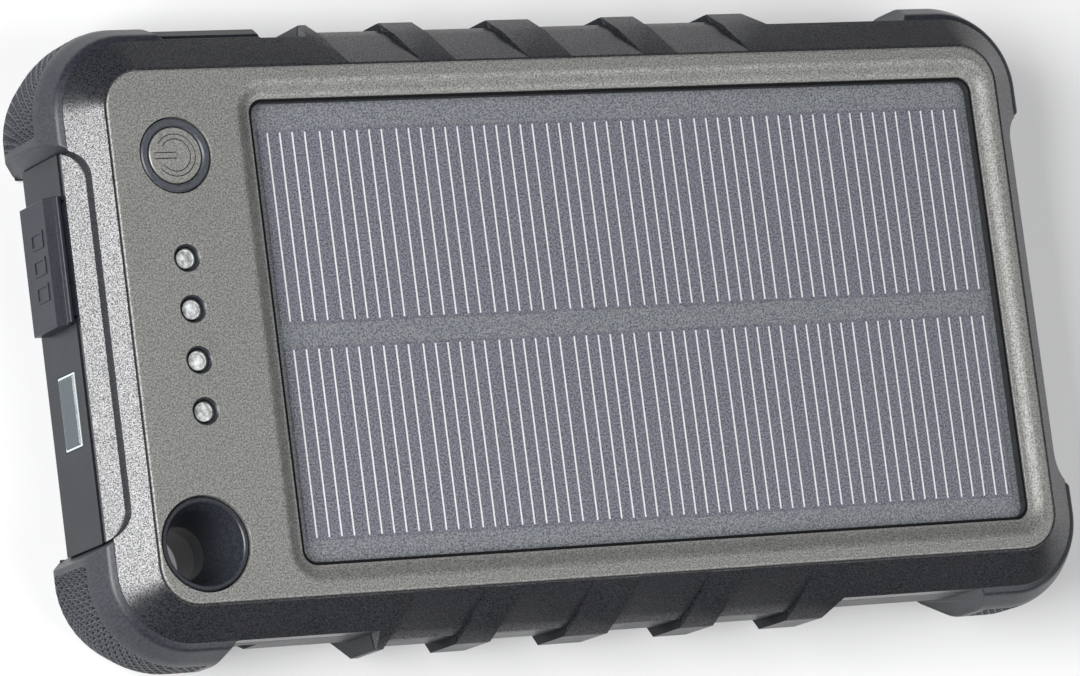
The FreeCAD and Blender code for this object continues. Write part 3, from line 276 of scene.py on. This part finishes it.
# name: colour, alpha, roughness, other settings
CLEAR = {
    "clear_plastic": ((0.82, 0.86, 0.86), 0.35, 0.22, {}),
    "lens_clear": ((0.05, 0.068, 0.08), 0.92, 0.1, {}),
    # Painted highlight: a bright clear strip standing for light caught on the side light's polished window
    # edge.
    "lens_edge_highlight": ((0.6, 0.68, 0.68), 0.9, 0.15, {}),
    "dome_clear": ((0.85, 0.88, 0.87), 0.8, 0.1, {"grain": 1500.0, "shade": 0.35}),
    "cover_resin": ((0.34, 0.355, 0.38), 0.11, 0.32, {"grain": 4600.0, "shade": 0.4}),
}


def make_materials():
    """Every material by name."""
    made = {}
    for name, (dark, light, grain, depth, roughness, other) in GRAINED.items():
        made[name] = grained(name, dark, light, grain, depth, roughness, **other)
    for name, (colour, alpha, roughness, other) in CLEAR.items():
        made[name] = clear(name, colour, alpha, roughness, **other)
    return made


def dress_cad(made):
    """Each CAD node takes the material of its slot in the record, and the clear ones their own."""
    own = {"solar_cover": "cover_resin", "side_light_lens": "lens_clear"}
    own.update({"light_pipe_" + str(index): "dome_clear" for index in range(1, 5)})
    for entry in frame["record"]["subparts"]:
        name = entry["node"]
        material = made[own.get(name, entry["material_slot"])]
        mesh = nodes[name].data
        mesh.materials.clear()
        mesh.materials.append(material)


WELD_DISTANCE = 0.002 * MM
EDGE_ANGLE = 28.0            # degrees; edges that turn more than this are rounded
FACE_WEIGHT = 90             # how far large faces decide the normals


def soften_edges(name, width, even_normals=True):
    """Small rounds on the moulded edges of a CAD node, with its normals evened out or held flat."""
    piece = nodes[name]
    weld = piece.modifiers.new("weld", "WELD")
    weld.merge_threshold = WELD_DISTANCE
    bevel = piece.modifiers.new("edge_round", "BEVEL")
    bevel.width = width
    bevel.segments = 2
    bevel.limit_method = "ANGLE"
    bevel.angle_limit = math.radians(EDGE_ANGLE)
    bevel.use_clamp_overlap = True
    bevel.harden_normals = not even_normals
    if even_normals:
        even = piece.modifiers.new("even_normals", "WEIGHTED_NORMAL")
        even.keep_sharp = False
        even.weight = FACE_WEIGHT


# ---------------------------------------------------------------- pieces
def link_mesh(name, vertices, faces, material, body=CASE, smooth=True):
    """New piece from vertices and faces, on its body and with its slot."""
    mesh = bpy.data.meshes.new(name)
    mesh.from_pydata(vertices, [], faces)
    mesh.update()
    mesh.materials.append(material)
    if smooth:
        mesh.polygons.foreach_set("use_smooth", [True] * len(mesh.polygons))
    piece = bpy.data.objects.new(name, mesh)
    bpy.context.scene.collection.objects.link(piece)
    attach(piece, body)
    return piece


def block(vertices, faces, low, high):
    """Adds an axis-aligned block to a vertex and face list."""
    start = len(vertices)
    for z in (low[2], high[2]):
        for x, y in ((low[0], low[1]), (high[0], low[1]), (high[0], high[1]), (low[0], high[1])):
            vertices.append((x, y, z))
    for face in ((3, 2, 1, 0), (4, 5, 6, 7), (0, 1, 5, 4), (1, 2, 6, 5), (2, 3, 7, 6), (3, 0, 4, 7)):
        faces.append(tuple(start + corner for corner in face))


def strip_boxes():
    """The cell strips' X spans and Y rows, read from the CAD node's own vertices."""
    corners = [vertex.co for vertex in nodes["solar_cells"].data.vertices]
    xs = sorted({round(corner.x, 6) for corner in corners})
    ys = sorted({round(corner.y, 6) for corner in corners})
    return list(zip(xs[0::2], xs[1::2])), list(zip(ys[0::2], ys[1::2]))


FINGER_PITCH = 1.765 * MM
FINGER_WIDTH = 0.21 * MM
FINGER_HIGH = 0.03 * MM
FINGERS_PER_STRIP = 6
FINGER_END = 0.3 * MM        # plain margin at a strip's ends


def make_fingers(made):
    """Printed silver lines: six across a full strip, fewer on the two cut ones."""
    vertices, faces = [], []
    columns, rows = strip_boxes()
    full = columns[1][1] - columns[1][0]
    margin = (full - (FINGERS_PER_STRIP - 1) * FINGER_PITCH) / 2
    for index, (x_low, x_high) in enumerate(columns):
        start = x_high - full if index == 0 else x_low
        for finger in range(FINGERS_PER_STRIP):
            x = start + margin + finger * FINGER_PITCH
            if not x_low + FINGER_WIDTH < x < x_high - FINGER_WIDTH:
                continue
            for y_low, y_high in rows:
                low = (x - FINGER_WIDTH / 2, y_low + FINGER_END, cells_high.z - FINGER_HIGH / 2)
                high = (x + FINGER_WIDTH / 2, y_high - FINGER_END, cells_high.z + FINGER_HIGH)
                block(vertices, faces, low, high)
    link_mesh("cell_fingers", vertices, faces, made["finger_silver"], smooth=False)


BOND_SINK = 0.01 * MM        # how far the resin lies below the cells' face


def make_cell_bond(made):
    """Resin that fills the joints between the strips, as dark as the cells beside it."""
    vertices, faces = [], []
    columns, rows = strip_boxes()
    for (_, x_low), (x_high, _) in zip(columns, columns[1:]):
        for y_low, y_high in rows:
            block(vertices, faces, (x_low, y_low, cells_low.z), (x_high, y_high, cells_high.z - BOND_SINK))
    link_mesh("cell_bond", vertices, faces, made["solar_cell"], smooth=False)


# Guard sizes in millimetres. "Out" is the distance from the edge of the front panel.
GUARD_OUT = guard_high.x / MM - panel_high.x / MM
GUARD_IN = 3.9               # inner edge of the top face, against the housing
GUARD_RIM = 4.5              # outer edge of the top face
GUARD_BROW = 5.4             # where the rounded top turns down to the shoulder
GUARD_BROW_DROP = 0.45
GUARD_SHOULDER = 14.2        # top of the upright outer face
GUARD_SIDE_LOW = 7.5         # its lower end on the long side, and on the short end
GUARD_END_LOW = 3.6
GUARD_FOOT = 0.35            # underside
FOOT_END = 4.6               # out of the short end and of the long side at the foot
FOOT_SIDE = 3.3
TOE_OUT = 1.0                # inner edge of the toe under the housing
TOE_TOP = 3.4                # upper face of the toe
CORNER_SHARE = 0.45          # most of an edge that a rounded corner takes
KNURL_PITCH = 1.45
KNURL_DEPTH = 0.55
KNURL_STRETCH = 1.15         # height of a diamond against its width
KNURL_RIDGE = 0.16           # width of a ridge and of a pit's wall, as shares of the pitch
PIT_WALL = 0.2
KNURL_LOW = 2.6              # the band of diamonds, and how softly it starts and ends
KNURL_HIGH = 14.0
KNURL_FADE = 0.4
PLAIN_END = 1.6              # smooth stretch at the guard's ends
PLAIN_FADE = 0.5
KNURL_OUT = 4.4              # only the skin further out than this is shaped
GRID = 0.13                  # spacing of the mesh
END_ROUND = 0.55             # round where the skin meets the guard's ends
END_SLOPE = 0.6              # slant of the guard's ends, and how far out it starts
END_SLANT_OUT = 4.2
PANEL_CORNER_R = 5.0
ARC_STEPS = 5                # pieces of a rounded corner


def guard_profile():
    """Closed outline of a guard as (out of the end, out of the side, height), corners rounded."""
    top = guard_high.z / MM
    share = (GUARD_END_LOW - GUARD_FOOT) / (GUARD_SIDE_LOW - GUARD_FOOT)
    side_low = FOOT_SIDE + (GUARD_OUT - FOOT_SIDE) * share
    corners = [
        (GUARD_IN, GUARD_IN, top, 0.0),
        (GUARD_RIM, GUARD_RIM, top, 0.15),
        (GUARD_BROW, GUARD_BROW, top - GUARD_BROW_DROP, 0.5),
        (GUARD_OUT, GUARD_OUT, GUARD_SHOULDER, 1.4),
        (GUARD_OUT, GUARD_OUT, GUARD_SIDE_LOW, 1.6),
        (GUARD_OUT, side_low, GUARD_END_LOW, 1.2),
        (FOOT_END, FOOT_SIDE, GUARD_FOOT, 0.5),
        (TOE_OUT, TOE_OUT, GUARD_FOOT, 0.1),
        (TOE_OUT, TOE_OUT, TOE_TOP, 0.0),
        (GUARD_IN, GUARD_IN, TOE_TOP, 0.0),
    ]
    points = []
    for index, (out_x, out_y, z, radius) in enumerate(corners):
        here = Vector((out_x, out_y, z))
        if radius == 0.0:
            points.append(here)
            continue
        before = Vector(corners[index - 1][:3])
        after = Vector(corners[(index + 1) % len(corners)][:3])
        start = here + (before - here).normalized() * min(radius, (before - here).length * CORNER_SHARE)
        end = here + (after - here).normalized() * min(radius, (after - here).length * CORNER_SHARE)
        for step in range(ARC_STEPS + 1):
            t = step / ARC_STEPS
            points.append(start * (1 - t) ** 2 + here * 2 * t * (1 - t) + end * t ** 2)
    return points


def spread(points, spacing):
    """Points along a polyline no further apart than the spacing."""
    dense = []
    for start, end in zip(points, points[1:]):
        steps = max(1, math.ceil((end - start).length / spacing))
        for step in range(steps):
            dense.append(start.lerp(end, step / steps))
    dense.append(points[-1])
    return dense


def smooth_step(value):
    """Smooth rise from 0 to 1."""
    value = min(1.0, max(0.0, value))
    return value * value * (3 - 2 * value)


def knurl_depth(along, up, from_end):
    """Depth of the diamond pits at a place on the guard's skin, in millimetres."""
    across = along / KNURL_PITCH
    rise = up / (KNURL_PITCH * KNURL_STRETCH)
    first = (across + rise) % 1.0
    second = (across - rise) % 1.0
    edge = min(first, 1 - first, second, 1 - second)
    pit = smooth_step((edge - KNURL_RIDGE / 2) / PIT_WALL)
    mask = smooth_step((up - KNURL_LOW) / KNURL_FADE) * smooth_step((KNURL_HIGH - up) / KNURL_FADE)
    mask *= smooth_step((from_end - PLAIN_END) / PLAIN_FADE)
    return KNURL_DEPTH * pit * mask


def guard_place(row, share_along, end_x, end_y):
    """Place and outward direction on the guard's skin, from one end of the sweep to the other."""
    panel_x = panel_high.x / MM
    panel_y = panel_high.y / MM
    radius = PANEL_CORNER_R + (row.x + row.y) / 2
    centre_x = panel_x + row.x - radius
    centre_y = panel_y + row.y - radius
    slant = END_SLOPE * max(0.0, row.y - END_SLANT_OUT)
    straight_x = centre_x - end_x
    straight_y = centre_y - end_y
    arc = radius * math.pi / 2
    along = share_along * (straight_x + arc + straight_y)
    from_end = min(along, straight_x + arc + straight_y - along)
    if along < straight_x:
        x = end_x + slant + (straight_x - slant) * along / straight_x
        return Vector((x, panel_y + row.y)), Vector((0, 1)), along, from_end
    if along < straight_x + arc:
        angle = math.pi / 2 * (1 - (along - straight_x) / arc)
        normal = Vector((math.cos(angle), math.sin(angle)))
        return Vector((centre_x, centre_y)) + normal * radius, normal, along, from_end
    share = (along - straight_x - arc) / straight_y
    slant = END_SLOPE * max(0.0, row.x - END_SLANT_OUT)
    y = centre_y - (straight_y - slant) * share
    return Vector((panel_x + row.x, y)), Vector((1, 0)), along, from_end


def make_guard(name, sign_x, sign_y, made):
    """Knurled rubber guard swept round one corner, in place of its plain CAD solid."""
    profile = guard_profile()
    foot = next(index for index, row in enumerate(profile) if row.x < (TOE_OUT + FOOT_SIDE) / 2)
    loop = [profile[0]] + spread(profile[1:foot], GRID) + profile[foot:]
    end_x = guard_low.x / MM
    end_y = guard_low.y / MM
    columns = math.ceil((guard_high.x - guard_low.x + guard_high.y - guard_low.y) / MM / GRID)
    vertices = []
    for column in range(columns + 1):
        for row in loop:
            place, normal, along, from_end = guard_place(row, column / columns, end_x, end_y)
            if row.x > KNURL_OUT:
                inside = knurl_depth(along, row.z, from_end)
                if from_end < END_ROUND:
                    inside += END_ROUND - math.sqrt(END_ROUND ** 2 - (END_ROUND - from_end) ** 2)
                place = place - normal * inside
            vertices.append((sign_x * place.x * MM, sign_y * place.y * MM, row.z * MM))
    ring = len(loop)
    faces = []
    flip = sign_x * sign_y < 0
    for column in range(columns):
        for row in range(ring):
            a = column * ring + row
            b = column * ring + (row + 1) % ring
            face = (a, b, b + ring, a + ring)
            faces.append(face[::-1] if flip else face)
    first_cap = tuple(range(ring))
    last_cap = tuple(columns * ring + row for row in range(ring))
    faces.append(first_cap if flip else first_cap[::-1])
    faces.append(last_cap[::-1] if flip else last_cap)
    piece = link_mesh(name + "_knurled", vertices, faces, made["guard_rubber"])
    piece.data.polygons[-1].use_smooth = False
    piece.data.polygons[-2].use_smooth = False
    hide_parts(name)


def make_guards(made):
    """One guard on each corner."""
    for side_x, sign_x in (("left", -1), ("right", 1)):
        for side_y, sign_y in (("bottom", -1), ("top", 1)):
            make_guard("corner_guard_" + side_x + "_" + side_y, sign_x, sign_y, made)


SYMBOL_SINK = 0.02 * MM      # how far the symbol reaches into the cap
SYMBOL_HIGH = 0.11 * MM      # how far the symbol and its dark outline (painted shade of the groove round the symbol) stand above it
OUTLINE_SHADE_HIGH = 0.01 * MM
OUTLINE_SHADE_WIDER = 0.14 * MM
RING_HALF = 0.29 * MM        # half widths of the ring's and the bar's strokes
BAR_HALF = 0.36 * MM
RING_R = 2.4 * MM
RING_GAP = math.radians(35)
RING_STEPS = 72
BAR_START = -2.9 * MM        # from the button's centre along X
BAR_LENGTH = 3.05 * MM
BAR_STEPS = 8
# Section of a stroke: shares of its half width and of its height.
RIDGE_SECTION = ((-1.0, 0.0), (-0.82, 1.0), (0.82, 1.0), (1.0, 0.0))


def ribbon(vertices, faces, points, half, base, high):
    """Adds a flat-topped ridge along a line of points to a vertex and face list."""
    start = len(vertices)
    for index, point in enumerate(points):
        ahead = points[min(index + 1, len(points) - 1)]
        behind = points[max(index - 1, 0)]
        tangent = (ahead - behind).normalized()
        side = Vector((-tangent.y, tangent.x))
        for across, rise in RIDGE_SECTION:
            place = point + side * across * half
            vertices.append((place.x, place.y, base + (high - base) * rise))
    width = len(RIDGE_SECTION)
    for index in range(len(points) - 1):
        for row in range(width - 1):
            a = start + index * width + row
            faces.append((a, a + 1, a + 1 + width, a + width))
        a = start + index * width
        faces.append((a + width - 1, a, a + width, a + 2 * width - 1))
    faces.append(tuple(start + row for row in range(width))[::-1])
    last = start + (len(points) - 1) * width
    faces.append(tuple(last + row for row in range(width)))


def make_power_symbol(made):
    """Raised outline of a plain power symbol: a broken ring and a bar, facing the short end, laid on a wider
    dark ribbon that is painted shade of the groove round it.
    """
    centre_x = (cap_low.x + cap_high.x) / 2
    centre_y = (cap_low.y + cap_high.y) / 2
    base = cap_high.z - SYMBOL_SINK
    ring = []
    for step in range(RING_STEPS + 1):
        angle = math.pi + RING_GAP + (2 * math.pi - 2 * RING_GAP) * step / RING_STEPS
        ring.append(Vector((centre_x + RING_R * math.cos(angle), centre_y + RING_R * math.sin(angle))))
    bar = []
    for step in range(BAR_STEPS + 1):
        bar.append(Vector((centre_x + BAR_START + BAR_LENGTH * step / BAR_STEPS, centre_y)))
    # The second, wider near-black ribbon is painted shade: the groove round the raised symbol drawn in dark
    # rubber colour.
    for name, wider, high, material in (
            ("power_symbol", 0.0, SYMBOL_HIGH, made["button_cap"]),
            ("power_symbol_shade_outline", OUTLINE_SHADE_WIDER, OUTLINE_SHADE_HIGH, made["seal_rubber"])):
        vertices, faces = [], []
        ribbon(vertices, faces, ring, RING_HALF + wider, base, cap_high.z + high)
        ribbon(vertices, faces, bar, BAR_HALF + wider, base, cap_high.z + high)
        link_mesh(name, vertices, faces, material, body="button", smooth=False)


WELL_DEEP = 0.85 * MM        # below the panel's face
WELL_LOW_R = 1.46 * MM
WELL_HIGH_R = 1.79 * MM
WELL_SKIN = 0.03 * MM        # thickness of the painted shade lining, and its drop under the panel's face
WELL_SIDES = 48


def make_painted_shade_wells(made):
    """Painted shade: a dark lining in the conical wells round the four charge lights, standing for the shadow
    deep in the panel's wells.
    """
    for index in range(1, 5):
        low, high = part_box("light_pipe_" + str(index))
        centre_x = (low.x + high.x) / 2
        centre_y = (low.y + high.y) / 2
        rows = [
            (WELL_LOW_R, front_z - WELL_DEEP), (WELL_HIGH_R, front_z - WELL_SKIN),
            (WELL_HIGH_R - WELL_SKIN, front_z - WELL_SKIN), (WELL_LOW_R - WELL_SKIN, front_z - WELL_DEEP)]
        vertices, faces = [], []
        for side in range(WELL_SIDES):
            angle = 2 * math.pi * side / WELL_SIDES
            for radius, z in rows:
                vertices.append((centre_x + radius * math.cos(angle), centre_y + radius * math.sin(angle), z))
        count = len(rows)
        for side in range(WELL_SIDES):
            here = side * count
            after = (side + 1) % WELL_SIDES * count
            for row in range(count):
                turn = (row + 1) % count
                faces.append((here + row, after + row, after + turn, here + turn))
        # The lining takes the dark eyelet plastic as painted shade; the wells' own walls are panel paint.
        link_mesh("painted_shade_well_" + str(index), vertices, faces, made["eyelet_plastic"])


LENS_EDGE = 0.24 * MM        # width of the painted highlight along the edge
LENS_EDGE_BACK = 0.19 * MM   # how far the painted highlight of the polished edge starts behind the window's face
LENS_EDGE_DEEP = 0.3 * MM


def make_painted_lens_highlight(made):
    """Painted highlight: bright strips round the side light's clear window, standing for light caught on its
    polished edge.
    """
    low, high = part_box("side_light_lens")
    front = low.x + LENS_EDGE_BACK
    vertices, faces = [], []
    for y_low, y_high, z_low, z_high in (
            (low.y, high.y, low.z, low.z + LENS_EDGE), (low.y, high.y, high.z - LENS_EDGE, high.z),
            (low.y, low.y + LENS_EDGE, low.z + LENS_EDGE, high.z - LENS_EDGE),
            (high.y - LENS_EDGE, high.y, low.z + LENS_EDGE, high.z - LENS_EDGE)):
        block(vertices, faces, (front, y_low, z_low), (front + LENS_EDGE_DEEP, y_high, z_high))
    link_mesh("lens_edge_highlight", vertices, faces, made["lens_edge_highlight"], smooth=False)


# ---------------------------------------------------------------- scene
make_camera()
make_floor()
make_lights()
made = make_materials()
dress_cad(made)
make_fingers(made)
make_cell_bond(made)
make_guards(made)
make_power_symbol(made)
make_painted_lens_highlight(made)
make_painted_shade_wells(made)
for name in ("front_housing", "rear_housing"):
    soften_edges(name, 0.12 * MM)
for name in ("usb_flap", "charge_flap"):
    soften_edges(name, 0.15 * MM)
soften_edges("front_panel", 0.08 * MM, even_normals=False)
